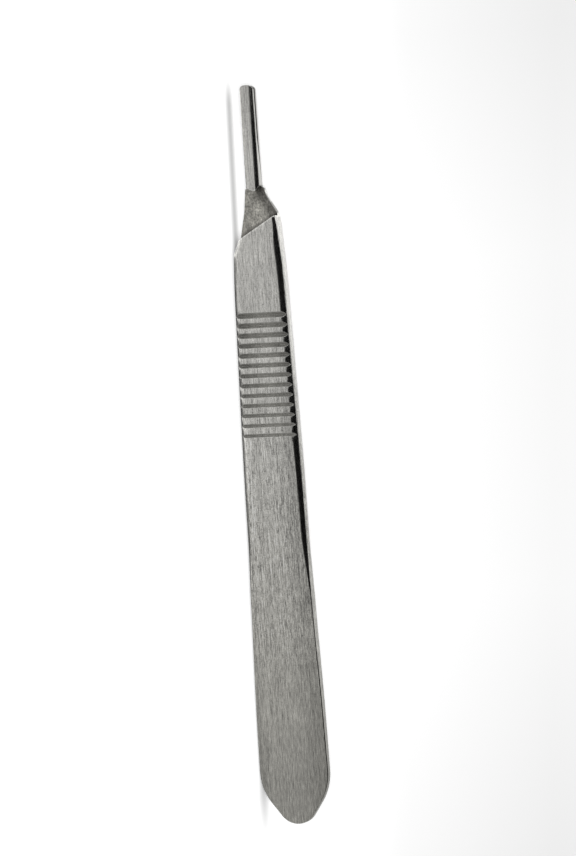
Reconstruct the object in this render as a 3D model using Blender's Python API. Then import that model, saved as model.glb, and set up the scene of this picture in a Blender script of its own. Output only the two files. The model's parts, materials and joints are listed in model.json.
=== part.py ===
"""Scalpel handle: one solid piece of steel with a blade tongue, a grooved grip and a thin tail.

The body is drawn about its mid-plane, which halves its thickness, with its length along Y.
It is then tipped by half its taper, so that its broad underside lies flat on Z = 0.
"""

import math

import bmesh
import bpy
from mathutils import Matrix, Vector

MM = 0.001

# Lengths along the handle, from the point of the tail to the end of the tongue
BODY_LENGTH = 98.85 * MM
NECK_LENGTH = 8.65 * MM
TONGUE_LENGTH = 17.5 * MM

# Widths of the body and where they lie, measured from the point of the tail
TAIL_WIDTH = 12.35 * MM
FLARE_WIDTH = 12.0 * MM
FLARE_AT = 20.3 * MM
REAR_WAIST_WIDTH = 10.81 * MM
REAR_WAIST_AT = 38.7 * MM
FRONT_WAIST_WIDTH = 10.82 * MM
FRONT_WAIST_AT = 58.1 * MM
SIDE_BLEND_RADIUS = 700.0 * MM

# The tail ends in two slanted sides that meet in a round point
TAIL_SLANT = math.radians(35.9)
TAIL_POINT_OFFSET = 0.3 * MM
TAIL_POINT_RADIUS = 3.55 * MM
TAIL_SHOULDER_RADIUS = 9.2 * MM

# The body is a slim wedge. Its long edges are round along the grip and only broken toward the tail
STEP_THICKNESS = 3.4 * MM
TAIL_THICKNESS = 1.0 * MM
GRIP_EDGE_RADIUS = 1.17 * MM
TAIL_EDGE_RADIUS = 0.18 * MM
NECK_EDGE_RADIUS = 0.3 * MM
ROUND_EDGE_FROM = 38.5 * MM
ROUND_EDGE_FULL_AT = 49.5 * MM
EDGE_FADE_SETBACK = 1.5 * MM
EDGE_FADE_ADVANCE = 6.0 * MM

# Front shoulders, measured back from the left end of the stop step
GRIP_WIDTH = 9.2 * MM
GRIP_LEFT_FRONT_SETBACK = 7.6 * MM
GRIP_RIGHT_FRONT_SETBACK = 4.4 * MM
LEFT_SHOULDER_REACH = 4.24 * MM
LEFT_SHOULDER_SETBACK = 2.1 * MM
LEFT_SHOULDER_RADIUS = 2.6 * MM
RIGHT_CHEEK_REACH = 4.06 * MM
RIGHT_CHEEK_ADVANCE = 2.3 * MM
RIGHT_CHEEK_RADIUS = 14.0 * MM
RIGHT_SHOULDER_REACH = 3.74 * MM
RIGHT_SHOULDER_ADVANCE = 4.4 * MM
RIGHT_SHOULDER_RADIUS = 1.6 * MM

# Neck, whose upper face is the blade seat, and the slanted step that stops the blade
STEP_SLANT = math.radians(28.7)
NECK_LEFT_REACH = 3.2 * MM
NECK_BEND_LEFT_REACH = 2.14 * MM
NECK_BEND_RIGHT_REACH = 1.98 * MM
NECK_BEND_SETBACK = 1.2 * MM
NECK_BEND_SKEW = 2.6 * MM
NECK_BEND_RADIUS = 5.0 * MM
NECK_FRONT_WIDTH = 3.4 * MM
NECK_ROOT_IN_TONGUE = 0.6 * MM
SEAT_BELOW_MIDPLANE = 0.05 * MM
STEP_LIP = 0.06 * MM
RAMP_START_SETBACK = 1.0 * MM

# Tongue: a head over two side slots, the rail under them, and a solid heel with a pointed end
TONGUE_TOP = 1.15 * MM
TONGUE_BOTTOM = 0.8 * MM
TONGUE_WIDTH = 2.54 * MM
TONGUE_TIP_RADIUS = 1.1 * MM
TONGUE_TOP_RADIUS = 0.72 * MM
TONGUE_BOTTOM_RADIUS = 0.3 * MM
HEEL_LENGTH = 8.4 * MM
HEEL_POINT_SETBACK = 0.55 * MM
HEEL_POINT_OFFSET = 0.45 * MM
HEEL_POINT_RADIUS = 0.5 * MM
HEEL_LEFT_SLANT = math.radians(24.0)
HEEL_RIGHT_SLANT = math.radians(54.0)
SLOT_HEIGHT = 0.45 * MM
SLOT_DEPTH = 0.45 * MM

# Cross grooves of the grip, cut by a square bar turned onto its edge
GROOVE_COUNT = 13
GROOVE_PITCH = 1.69 * MM
GROOVE_SETBACK = 12.72 * MM
FIRST_GROOVE_DEPTH = 0.49 * MM
LAST_GROOVE_DEPTH = 0.31 * MM
GROOVE_SKEW = math.radians(-1.3)
GROOVE_BAR_SIDE = 0.95 * MM

# How finely round shapes are drawn
EDGE_STEPS = 7
ARC_STEP = math.radians(9.0)
LEAST_ARC_STEPS = 4
CUT_MARGIN = 2.0 * MM
LONGEST_SIDE = 2.1 * MM

# Places that follow from the sizes above, with Y = 0 halfway along the handle
LENGTH = BODY_LENGTH + NECK_LENGTH + TONGUE_LENGTH
TAIL_Y = -LENGTH / 2
STEP_Y = TAIL_Y + BODY_LENGTH
NECK_Y = STEP_Y + NECK_LENGTH
TIP_Y = LENGTH / 2
TAPER = (STEP_THICKNESS - TAIL_THICKNESS) / BODY_LENGTH
HALF_TAPER_ANGLE = math.atan(TAPER / 2)
SEAT_Z = -SEAT_BELOW_MIDPLANE

STEEL_COLOUR = (0.36, 0.355, 0.34, 1.0)
STEEL_ROUGHNESS = 0.34


def thickness(y):
    return TAIL_THICKNESS + TAPER * (y - TAIL_Y)


def share_between(value, start, end):
    return min(1.0, max(0.0, (value - start) / (end - start)))


def edge_radius(y):
    """Rounding of the long edges: small at the tail, large along the grip, fading at the step."""
    rise = share_between(y, TAIL_Y + ROUND_EDGE_FROM, TAIL_Y + ROUND_EDGE_FULL_AT)
    fall = share_between(y, STEP_Y - EDGE_FADE_SETBACK, STEP_Y + EDGE_FADE_ADVANCE)
    radius = TAIL_EDGE_RADIUS + rise * (GRIP_EDGE_RADIUS - TAIL_EDGE_RADIUS)
    radius += fall * (NECK_EDGE_RADIUS - radius)
    return min(radius, 0.47 * thickness(y))


def clear_scene():
    for item in list(bpy.data.objects):
        bpy.data.objects.remove(item, do_unlink=True)


def new_collection(name):
    collection = bpy.data.collections.new(name)
    bpy.context.scene.collection.children.link(collection)
    return collection


def steel():
    material = bpy.data.materials.new("brushed_steel")
    material.use_nodes = True
    shader = material.node_tree.nodes["Principled BSDF"]
    shader.inputs["Base Color"].default_value = STEEL_COLOUR
    shader.inputs["Metallic"].default_value = 1.0
    shader.inputs["Roughness"].default_value = STEEL_ROUGHNESS
    return material


def object_from(bm, name, collection):
    bmesh.ops.recalc_face_normals(bm, faces=bm.faces)
    mesh = bpy.data.meshes.new(name)
    bm.to_mesh(mesh)
    bm.free()
    item = bpy.data.objects.new(name, mesh)
    collection.objects.link(item)
    return item


def corner_arc(before, corner, after, radius):
    """Points of the arc that rounds one corner, kept within half of each side."""
    to_before = (before - corner).normalized()
    to_after = (after - corner).normalized()
    inner = to_before.angle(to_after)
    turn = math.pi - inner
    if radius <= 0 or turn < math.radians(0.05):
        return [corner]
    room = 0.49 * min((before - corner).length, (after - corner).length)
    reach = min(radius * math.tan(turn / 2), room)
    radius = reach / math.tan(turn / 2)
    centre = corner + (to_before + to_after).normalized() * (radius / math.sin(inner / 2))
    start = corner + to_before * reach - centre
    side = 1 if to_before.cross(to_after) < 0 else -1
    steps = max(LEAST_ARC_STEPS, math.ceil(turn / ARC_STEP))
    turns = [Matrix.Rotation(side * turn * i / steps, 2) for i in range(steps + 1)]
    return [centre + turned @ start for turned in turns]


def rounded_outline(corners):
    """Closed outline through (x, y, radius) corners, each rounded by its own radius."""
    places = [Vector((x, y)) for x, y, _ in corners]
    points = []
    for i, (_, _, radius) in enumerate(corners):
        following = places[(i + 1) % len(places)]
        points += corner_arc(places[i - 1], places[i], following, radius)
    return points


def with_short_sides(points):
    """The same outline with more points on its long sides, so that a rounding can change along them."""
    dense = []
    for i, point in enumerate(points):
        following = points[(i + 1) % len(points)]
        pieces = math.ceil((following - point).length / LONGEST_SIDE)
        dense += [point.lerp(following, k / pieces) for k in range(pieces)]
    return dense


def inset_directions(points):
    """For each point, the move that carries both of its sides inward by a distance of one."""
    moves = []
    for i, point in enumerate(points):
        arriving = (point - points[i - 1]).normalized()
        leaving = (points[(i + 1) % len(points)] - point).normalized()
        normal_a = Vector((-arriving.y, arriving.x))
        normal_b = Vector((-leaving.y, leaving.x))
        bisector = (normal_a + normal_b).normalized()
        moves.append(bisector / bisector.dot(normal_a))
    return moves


def rounded_solid(name, outline, top, bottom, top_radius, bottom_radius, collection):
    """Loft of inset outlines: level caps, upright sides and a rounded edge round each cap.

    The heights and radii are functions of Y. The outline runs counterclockwise.
    """
    moves = inset_directions(outline)
    quarter = [math.pi / 2 * i / EDGE_STEPS for i in range(EDGE_STEPS + 1)]
    levels = [(bottom, bottom_radius, 1, angle) for angle in reversed(quarter)]
    levels += [(top, top_radius, -1, angle) for angle in quarter]
    bm = bmesh.new()
    rings = []
    for height, radius, inward, angle in levels:
        ring = []
        for point, move in zip(outline, moves):
            size = radius(point.y)
            place = point + move * size * (1 - math.cos(angle))
            z = height(place.y) + inward * size * (1 - math.sin(angle))
            ring.append(bm.verts.new((place.x, place.y, z)))
        rings.append(ring)
    for lower, upper in zip(rings, rings[1:]):
        for i, vert in enumerate(lower):
            bm.faces.new((lower[i - 1], vert, upper[i], upper[i - 1]))
    bm.faces.new(rings[0])
    bm.faces.new(rings[-1])
    return object_from(bm, name, collection)


def box(name, size, place, turn, collection):
    bm = bmesh.new()
    matrix = Matrix.Translation(place) @ turn @ Matrix.Diagonal((*size, 1.0))
    bmesh.ops.create_cube(bm, size=1.0, matrix=matrix)
    return object_from(bm, name, collection)


def body_outline():
    """Right side from the tail to the neck, then the left side back to the tail."""
    slant = math.tan(TAIL_SLANT)
    apex_y = TAIL_Y - TAIL_POINT_RADIUS * (1 / math.sin(TAIL_SLANT) - 1)
    shoulder_y = apex_y + TAIL_WIDTH / 2 / slant
    side = [
        (TAIL_WIDTH / 2, shoulder_y, TAIL_SHOULDER_RADIUS),
        (FLARE_WIDTH / 2, TAIL_Y + FLARE_AT, SIDE_BLEND_RADIUS),
        (REAR_WAIST_WIDTH / 2, TAIL_Y + REAR_WAIST_AT, SIDE_BLEND_RADIUS),
        (FRONT_WAIST_WIDTH / 2, TAIL_Y + FRONT_WAIST_AT, SIDE_BLEND_RADIUS),
    ]
    root = TONGUE_WIDTH / 2 - TONGUE_BOTTOM_RADIUS
    right_front = [
        (GRIP_WIDTH / 2, STEP_Y - GRIP_RIGHT_FRONT_SETBACK, SIDE_BLEND_RADIUS),
        (RIGHT_CHEEK_REACH, STEP_Y + RIGHT_CHEEK_ADVANCE, RIGHT_CHEEK_RADIUS),
        (RIGHT_SHOULDER_REACH, STEP_Y + RIGHT_SHOULDER_ADVANCE, RIGHT_SHOULDER_RADIUS),
        (NECK_BEND_RIGHT_REACH, NECK_Y - NECK_BEND_SETBACK, NECK_BEND_RADIUS),
        (NECK_FRONT_WIDTH / 2, NECK_Y, 0.0),
        (root, NECK_Y + NECK_ROOT_IN_TONGUE, 0.0),
    ]
    left_front = [
        (-root, NECK_Y + NECK_ROOT_IN_TONGUE, 0.0),
        (-NECK_FRONT_WIDTH / 2, NECK_Y, 0.0),
        (-NECK_BEND_LEFT_REACH, NECK_Y - NECK_BEND_SETBACK - NECK_BEND_SKEW, NECK_BEND_RADIUS),
        (-NECK_LEFT_REACH, STEP_Y, 0.0),
        (-LEFT_SHOULDER_REACH, STEP_Y - LEFT_SHOULDER_SETBACK, LEFT_SHOULDER_RADIUS),
        (-GRIP_WIDTH / 2, STEP_Y - GRIP_LEFT_FRONT_SETBACK, SIDE_BLEND_RADIUS),
    ]
    left_side = [(-x, y, radius) for x, y, radius in reversed(side)]
    corners = [(TAIL_POINT_OFFSET, apex_y, TAIL_POINT_RADIUS)] + side + right_front + left_front + left_side
    return with_short_sides(rounded_outline(corners))


def make_body(collection):
    return rounded_solid(
        "scalpel_handle",
        body_outline(),
        top=lambda y: thickness(y) / 2,
        bottom=lambda y: -thickness(y) / 2,
        top_radius=edge_radius,
        bottom_radius=edge_radius,
        collection=collection,
    )


def prism(name, outline, height, turn, collection):
    """An outline in X and Y, raised along Z by the height, then turned."""
    bm = bmesh.new()
    base = bm.faces.new([bm.verts.new((point.x, point.y, 0.0)) for point in outline])
    raised = bmesh.ops.extrude_face_region(bm, geom=[base])["geom"]
    verts = [item for item in raised if isinstance(item, bmesh.types.BMVert)]
    bmesh.ops.translate(bm, verts=verts, vec=(0.0, 0.0, height))
    bmesh.ops.transform(bm, matrix=turn, verts=bm.verts)
    return object_from(bm, name, collection)


def make_tongue(collection):
    """A bar with rounded long edges, which make_tongue_plan cuts to its round tip and pointed heel."""
    half = TONGUE_WIDTH / 2
    corners = [
        (half, -TONGUE_BOTTOM, TONGUE_BOTTOM_RADIUS),
        (half, TONGUE_TOP, TONGUE_TOP_RADIUS),
        (-half, TONGUE_TOP, TONGUE_TOP_RADIUS),
        (-half, -TONGUE_BOTTOM, TONGUE_BOTTOM_RADIUS),
    ]
    back_y = NECK_Y - 2 * CUT_MARGIN
    front_y = TIP_Y + CUT_MARGIN
    turn = Matrix.Translation((0.0, front_y, 0.0)) @ Matrix.Rotation(math.radians(90), 4, "X")
    return prism("tongue", rounded_outline(corners), front_y - back_y, turn, collection)


def make_tongue_plan(collection):
    half = TONGUE_WIDTH / 2
    edge = half + CUT_MARGIN
    point_y = NECK_Y - HEEL_POINT_SETBACK
    left_y = point_y + (edge + HEEL_POINT_OFFSET) * math.tan(HEEL_LEFT_SLANT)
    right_y = point_y + (edge - HEEL_POINT_OFFSET) * math.tan(HEEL_RIGHT_SLANT)
    tip_back_y = TIP_Y - 2 * TONGUE_TIP_RADIUS
    corners = [
        (HEEL_POINT_OFFSET, point_y, HEEL_POINT_RADIUS),
        (edge, right_y, 0.0),
        (edge, tip_back_y, 0.0),
        (half, tip_back_y, 0.0),
        (half, TIP_Y, TONGUE_TIP_RADIUS),
        (-half, TIP_Y, TONGUE_TIP_RADIUS),
        (-half, tip_back_y, 0.0),
        (-edge, tip_back_y, 0.0),
        (-edge, left_y, 0.0),
    ]
    lift = Matrix.Translation((0.0, 0.0, -TONGUE_BOTTOM - CUT_MARGIN))
    height = TONGUE_BOTTOM + TONGUE_TOP + 2 * CUT_MARGIN
    return prism("tongue_plan", rounded_outline(corners), height, lift, collection)


def make_web(collection):
    """The core that stays between the two slots and joins the head to the rail."""
    half = TONGUE_WIDTH / 2 - SLOT_DEPTH
    heel_y = NECK_Y + HEEL_LENGTH / 2
    tip_y = TIP_Y - SLOT_DEPTH
    tip_radius = TONGUE_TIP_RADIUS - SLOT_DEPTH
    corners = [(-half, heel_y, 0.0), (half, heel_y, 0.0), (half, tip_y, tip_radius), (-half, tip_y, tip_radius)]
    lift = Matrix.Translation((0.0, 0.0, -TONGUE_BOTTOM))
    return prism("web", rounded_outline(corners), TONGUE_BOTTOM + TONGUE_TOP, lift, collection)


def make_slot_cutter(collection):
    """A layer as high as the blade's slot needs, from the heel to past the tip."""
    start = NECK_Y + HEEL_LENGTH
    end = TIP_Y + CUT_MARGIN
    size = (TONGUE_WIDTH + 2 * CUT_MARGIN, end - start, SLOT_HEIGHT)
    place = Vector((0.0, (start + end) / 2, SEAT_Z + SLOT_HEIGHT / 2))
    return box("slot_layer", size, place, Matrix.Identity(4), collection)


def make_seat_cutter(collection):
    """Clears everything over the blade seat, in front of the slanted stop step."""
    size = Vector((3 * GRIP_WIDTH, 2 * NECK_LENGTH, STEP_THICKNESS))
    turn = Matrix.Rotation(STEP_SLANT, 4, "Z")
    step_corner = Vector((-NECK_LEFT_REACH, STEP_Y + STEP_LIP, SEAT_Z))
    middle = turn @ Vector((0.0, size.y / 2, size.z / 2))
    return box("seat_cut", size, step_corner + middle, turn, collection)


def make_ramp_cutter(collection):
    """Thins the neck from below, from the body's underside up to the tongue's."""
    start_y = STEP_Y - RAMP_START_SETBACK
    start = Vector((0.0, start_y, -thickness(start_y) / 2))
    rise = -TONGUE_BOTTOM - start.z
    slope = math.atan(rise / (NECK_Y - start_y))
    size = Vector((2 * GRIP_WIDTH, 3 * NECK_LENGTH, STEP_THICKNESS))
    turn = Matrix.Rotation(slope, 4, "X")
    middle = turn @ Vector((0.0, size.y / 2 - CUT_MARGIN, -size.z / 2))
    return box("ramp_cut", size, start + middle, turn, collection)


def make_groove_cutter(collection):
    """Square bars turned onto an edge, above and below, which cut less deep toward the tail."""
    on_edge = Matrix.Rotation(GROOVE_SKEW, 4, "Z") @ Matrix.Rotation(math.radians(45), 4, "X")
    size = (FLARE_WIDTH + 2 * CUT_MARGIN, GROOVE_BAR_SIDE, GROOVE_BAR_SIDE, 1.0)
    bm = bmesh.new()
    for i in range(GROOVE_COUNT):
        y = STEP_Y - GROOVE_SETBACK - i * GROOVE_PITCH
        share = i / (GROOVE_COUNT - 1)
        depth = FIRST_GROOVE_DEPTH + share * (LAST_GROOVE_DEPTH - FIRST_GROOVE_DEPTH)
        centre_z = thickness(y) / 2 - depth + GROOVE_BAR_SIDE / math.sqrt(2)
        for side in (1, -1):
            matrix = Matrix.Translation((0.0, y, side * centre_z)) @ on_edge @ Matrix.Diagonal(size)
            bmesh.ops.create_cube(bm, size=1.0, matrix=matrix)
    return object_from(bm, "groove_bars", collection)


def combine(target, other, operation):
    modifier = target.modifiers.new(other.name, "BOOLEAN")
    modifier.operation = operation
    modifier.object = other
    modifier.solver = "EXACT"


def keep_as_guide(item):
    item.hide_render = True
    item.display_type = "WIRE"


def lay_flat(item):
    """Tip the wedge by half its taper, so that its underside becomes level at Z = 0."""
    item.rotation_euler.x = HALF_TAPER_ANGLE
    item.location.z = thickness(0.0) / 2 * math.cos(HALF_TAPER_ANGLE)


def build():
    clear_scene()
    parts = new_collection("scalpel_handle")
    cutters = new_collection("cutters")

    slot_layer = make_slot_cutter(cutters)
    web = make_web(cutters)
    combine(slot_layer, web, "DIFFERENCE")
    tongue = make_tongue(cutters)
    tongue_plan = make_tongue_plan(cutters)
    combine(tongue, tongue_plan, "INTERSECT")
    combine(tongue, slot_layer, "DIFFERENCE")

    seat_cut = make_seat_cutter(cutters)
    ramp_cut = make_ramp_cutter(cutters)
    groove_bars = make_groove_cutter(cutters)
    handle = make_body(parts)
    combine(handle, seat_cut, "DIFFERENCE")
    combine(handle, ramp_cut, "DIFFERENCE")
    combine(handle, groove_bars, "DIFFERENCE")
    combine(handle, tongue, "UNION")

    handle.data.materials.append(steel())
    handle.data.shade_smooth()
    handle.data.set_sharp_from_angle(angle=math.radians(30))
    guides = (slot_layer, web, tongue, tongue_plan, seat_cut, ramp_cut, groove_bars)
    for item in guides:
        keep_as_guide(item)
    for item in (handle, *guides):
        lay_flat(item)


build()
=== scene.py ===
"""Looks of the scalpel handle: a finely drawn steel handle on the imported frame, in plain studio light."""

import json
import math

import bmesh
import bpy
from mathutils import Matrix, Vector

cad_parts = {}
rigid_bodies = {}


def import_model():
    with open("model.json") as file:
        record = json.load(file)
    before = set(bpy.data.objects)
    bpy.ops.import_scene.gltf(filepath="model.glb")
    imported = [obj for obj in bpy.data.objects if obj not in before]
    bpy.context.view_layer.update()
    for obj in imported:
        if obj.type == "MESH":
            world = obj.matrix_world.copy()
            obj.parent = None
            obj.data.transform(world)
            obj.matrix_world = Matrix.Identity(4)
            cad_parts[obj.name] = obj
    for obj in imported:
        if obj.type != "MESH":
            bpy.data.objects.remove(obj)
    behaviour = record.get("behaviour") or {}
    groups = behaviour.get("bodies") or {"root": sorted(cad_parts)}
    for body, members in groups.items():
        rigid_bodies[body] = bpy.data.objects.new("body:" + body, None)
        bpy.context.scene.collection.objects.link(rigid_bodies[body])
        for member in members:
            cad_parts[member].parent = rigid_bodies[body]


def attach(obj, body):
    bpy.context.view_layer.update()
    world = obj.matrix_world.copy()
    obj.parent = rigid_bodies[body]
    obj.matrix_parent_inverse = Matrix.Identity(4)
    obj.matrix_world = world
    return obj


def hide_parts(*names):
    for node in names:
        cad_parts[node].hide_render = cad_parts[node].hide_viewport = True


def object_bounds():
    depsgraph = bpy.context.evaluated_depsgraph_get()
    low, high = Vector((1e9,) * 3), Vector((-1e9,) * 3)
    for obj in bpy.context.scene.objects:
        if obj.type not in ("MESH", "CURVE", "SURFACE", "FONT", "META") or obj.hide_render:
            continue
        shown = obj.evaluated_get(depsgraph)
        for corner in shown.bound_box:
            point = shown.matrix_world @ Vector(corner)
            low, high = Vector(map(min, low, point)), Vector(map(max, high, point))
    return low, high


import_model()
CAD_LOW, CAD_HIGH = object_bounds()

SCENE = bpy.context.scene
NODE = "scalpel_handle"
LENGTH = CAD_HIGH.y - CAD_LOW.y
MM = LENGTH / 125.0

# Lengths along the handle
NECK_LENGTH = 8.65 * MM
TONGUE_LENGTH = 17.5 * MM
BODY_LENGTH = LENGTH - NECK_LENGTH - TONGUE_LENGTH

# Widths of the body and where they lie, measured from the point of the tail
TAIL_WIDTH = 12.35 * MM
FLARE_WIDTH = 12.0 * MM
FLARE_AT = 20.3 * MM
REAR_WAIST_WIDTH = 10.81 * MM
REAR_WAIST_AT = 38.7 * MM
FRONT_WAIST_WIDTH = 10.82 * MM
FRONT_WAIST_AT = 58.1 * MM
SIDE_BLEND_RADIUS = 700.0 * MM

# The tail ends in two slanted sides that meet in a round point
TAIL_SLANT = math.radians(35.9)
TAIL_POINT_OFFSET = 0.3 * MM
TAIL_POINT_RADIUS = 3.55 * MM
TAIL_SHOULDER_RADIUS = 9.2 * MM

# The body is a slim wedge. Its long edges are round along the grip and only broken toward the tail
STEP_THICKNESS = 3.4 * MM
TAIL_THICKNESS = 1.0 * MM
GRIP_EDGE_RADIUS = 1.17 * MM
TAIL_EDGE_RADIUS = 0.18 * MM
NECK_EDGE_RADIUS = 0.3 * MM
ROUND_EDGE_FROM = 38.5 * MM
ROUND_EDGE_FULL_AT = 49.5 * MM
EDGE_FADE_SETBACK = 1.5 * MM
EDGE_FADE_ADVANCE = 6.0 * MM

# Front shoulders: reach from the middle, and setback behind or advance before the left end of the stop step
GRIP_WIDTH = 9.2 * MM
GRIP_LEFT_FRONT_SETBACK = 7.6 * MM
GRIP_RIGHT_FRONT_SETBACK = 4.4 * MM
LEFT_SHOULDER_REACH = 4.24 * MM
LEFT_SHOULDER_SETBACK = 2.1 * MM
LEFT_SHOULDER_RADIUS = 2.6 * MM
RIGHT_CHEEK_REACH = 4.06 * MM
RIGHT_CHEEK_ADVANCE = 2.3 * MM
RIGHT_CHEEK_RADIUS = 14.0 * MM
RIGHT_SHOULDER_REACH = 3.74 * MM
RIGHT_SHOULDER_ADVANCE = 4.4 * MM
RIGHT_SHOULDER_RADIUS = 1.6 * MM

# Neck, whose upper face is the blade seat, and the slanted step that stops the blade
STEP_SLANT = math.radians(28.7)
NECK_LEFT_REACH = 3.2 * MM
NECK_BEND_LEFT_REACH = 2.14 * MM
NECK_BEND_RIGHT_REACH = 1.98 * MM
NECK_BEND_SETBACK = 1.2 * MM
NECK_BEND_SKEW = 2.6 * MM
NECK_BEND_RADIUS = 5.0 * MM
NECK_FRONT_WIDTH = 3.4 * MM
NECK_ROOT_IN_TONGUE = 0.6 * MM
SEAT_BELOW_MIDPLANE = 0.05 * MM
STEP_LIP = 0.06 * MM
RAMP_START_SETBACK = 1.0 * MM

# Tongue: a head over two side slots, the rail under them, and a solid heel with a pointed end
TONGUE_TOP = 1.15 * MM
TONGUE_BOTTOM = 0.8 * MM
TONGUE_WIDTH = 2.54 * MM
TONGUE_TIP_RADIUS = 1.1 * MM
TONGUE_TOP_RADIUS = 0.72 * MM
TONGUE_BOTTOM_RADIUS = 0.3 * MM
HEEL_LENGTH = 8.4 * MM
HEEL_POINT_SETBACK = 0.55 * MM
HEEL_POINT_OFFSET = 0.45 * MM
HEEL_POINT_RADIUS = 0.5 * MM
HEEL_LEFT_SLANT = math.radians(24.0)
HEEL_RIGHT_SLANT = math.radians(54.0)
SLOT_HEIGHT = 0.45 * MM
SLOT_DEPTH = 0.45 * MM

# Cross grooves of the grip, cut by a square bar turned onto its edge
GROOVE_COUNT = 13
GROOVE_PITCH = 1.69 * MM
GROOVE_SETBACK = 12.72 * MM
FIRST_GROOVE_DEPTH = 0.49 * MM
LAST_GROOVE_DEPTH = 0.31 * MM
GROOVE_SKEW = math.radians(-1.3)
GROOVE_BAR_SIDE = 0.95 * MM

# How finely round shapes are drawn
EDGE_STEPS = 14
ARC_STEP = math.radians(4.0)
LEAST_ARC_STEPS = 6
LEAST_TURN = math.radians(0.05)
CUT_MARGIN = 2.0 * MM
LONGEST_SIDE = 1.3 * MM
MOST_EDGE_RADIUS = 0.47
MOST_ARC_REACH = 0.49
BROKEN_EDGE = 0.035 * MM
BROKEN_EDGE_STEPS = 2
SHARP_EDGE = math.radians(28)
LEVEL_FACE_WEIGHT = 100

# Places that follow from the sizes above, with Y = 0 halfway along the handle
TAIL_Y = -LENGTH / 2
STEP_Y = TAIL_Y + BODY_LENGTH
NECK_Y = STEP_Y + NECK_LENGTH
TIP_Y = LENGTH / 2
TAPER = (STEP_THICKNESS - TAIL_THICKNESS) / BODY_LENGTH
HALF_TAPER_ANGLE = math.atan(TAPER / 2)
SEAT_Z = -SEAT_BELOW_MIDPLANE

# Camera: the scale and the place of the handle in the picture
PICTURE_HEIGHT = 856
PIXELS_PER_MM = 5.92
CAMERA_DISTANCE = 0.6
VIEW_TILT = math.radians(20.0)
HANDLE_LEAN = math.radians(3.76)
AIM_RIGHT = 2.54 * MM
AIM_UP = 4.56 * MM
SENSOR_WIDTH = 36.0
CLIP_NEAR = 0.01
CLIP_FAR = 10.0

# One soft lamp, in metres and watts
LAMP_PLACE = (0.4, -0.12, 0.91)
LAMP_SIZE = 0.5
LAMP_POWER = 6.0

# Floor: its size in metres, its own colour and the light that only the camera sees
FLOOR_HALF = 1.5
FLOOR_DROP = 0.02 * MM
FLOOR_WHITE = 0.8
FLOOR_GLOW = 0.27

# Slots of the fine mesh
FACE, SEAT, GROOVE = range(3)

# A value named with four numbers below is a ramp: from a low to a high value of what is measured,
# then the two values that they turn to

# Broad tones of the brushed faces, as factors on the colour: random broad tones, painted shade that darkens
# the front of the grip and the tail end, and a painted highlight on the lip of the step that also lightens
# everything in front of the step
BROAD_COUNTS = (170, 25)
BROAD_TONES = (0.3, 0.7, 0.96, 1.04)
FRONT_PAINTED_SHADE = (14 * MM, 26 * MM, 1.03, 0.94)
END_PAINTED_SHADE = (-44 * MM, -58 * MM, 1.0, 0.93)
LIP_PAINTED_HIGHLIGHT = (-0.3 * MM, -0.12 * MM, 1.0, 1.45)

# Painted shade: the right part is darker, from a start across the handle to an end, both shifting along it
RIGHT_PAINTED_SHADE_DEPTH = (22 * MM, 4 * MM, 0.12, 0.3)
RIGHT_START = (-20 * MM, -50 * MM, 0.4 * MM, -1.0 * MM)
RIGHT_END = (-20 * MM, -50 * MM, 4.4 * MM, 5.6 * MM)

# Painted shade: the left side of the tail is darker
TAIL_LEFT_PAINTED_SHADE_DEPTH = (-22 * MM, -38 * MM, 0.0, 0.22)
TAIL_LEFT_ACROSS = (-4.0 * MM, -6.0 * MM, 0.0, 1.0)

# A painted highlight: a lighter stripe runs along the left side behind the grooves, with a little painted
# shade on the rounded edge beside it
STRIPE_FRONT = (12 * MM, 2 * MM, 0.0, 0.22)
STRIPE_BACK = (-10 * MM, -26 * MM, 1.0, 0.0)
STRIPE_RIGHT = (-2.9 * MM, -3.7 * MM, 0.0, 1.0)
STRIPE_LEFT = (-4.6 * MM, -4.3 * MM, -0.4, 1.0)

# Painted shade: the left rim of the grip is darker
GRIP_LEFT_EDGE = (33.5 * MM, -4.4 * MM, -4.35 * MM, -5.41 * MM)
RIM_ACROSS = (0.2 * MM, 0.8 * MM, 0.5, 0.0)
RIM_BACK = (2 * MM, 5 * MM, 0.0, 1.0)
RIM_FRONT = (35 * MM, 33 * MM, 0.0, 1.0)

# Painted light and shade on the tongue: its left flank lighter and its right flank darker than its middle,
# and painted shade toward its tip
TONGUE_LEFT_PAINTED_LIGHT = (-1.2 * MM, -0.7 * MM, 0.5, 0.0)
TONGUE_RIGHT_PAINTED_SHADE = (1.05 * MM, 1.25 * MM, 0.65, 0.5)
TIP_PAINTED_SHADE = (TIP_Y - 12 * MM, TIP_Y, 1.0, 0.84)

# Small dark specks on the upper face: x, y and radius, then their dark core as a share of it and its tone
SPECKS = [
    (0.65 * MM, 25.4 * MM, 0.16 * MM),
    (2.48 * MM, 4.0 * MM, 0.16 * MM),
    (3.28 * MM, -30.7 * MM, 0.2 * MM),
]
SPECK_CORE = 0.4
SPECK_TONE = 0.45

# Brushed grain: counts per metre across and along, shares and contrast
SPECKLE_COUNTS = (8000, 5200)
SHORT_COUNTS = (8000, 900)
LONG_COUNTS = (7000, 170)
LONG_SHARE = 0.9
BACK_SHARE = (-28 * MM, -46 * MM, 0.0, 1.0)
SPECKLE_BY_BACK = (0.0, 1.0, 0.75, 0.45)
GRAIN_MIDDLE_BY_BACK = (0.0, 1.0, 1.325, 1.175)
CONTRAST_BY_BACK = (0.0, 1.0, 1.0, 0.6)
CONTRAST_ALONG = (28 * MM, -10 * MM, 1.4, 2.2)
CONTRAST_AT_TONGUE = (NECK_Y - 1 * MM, NECK_Y, 1.0, 0.6)

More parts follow.
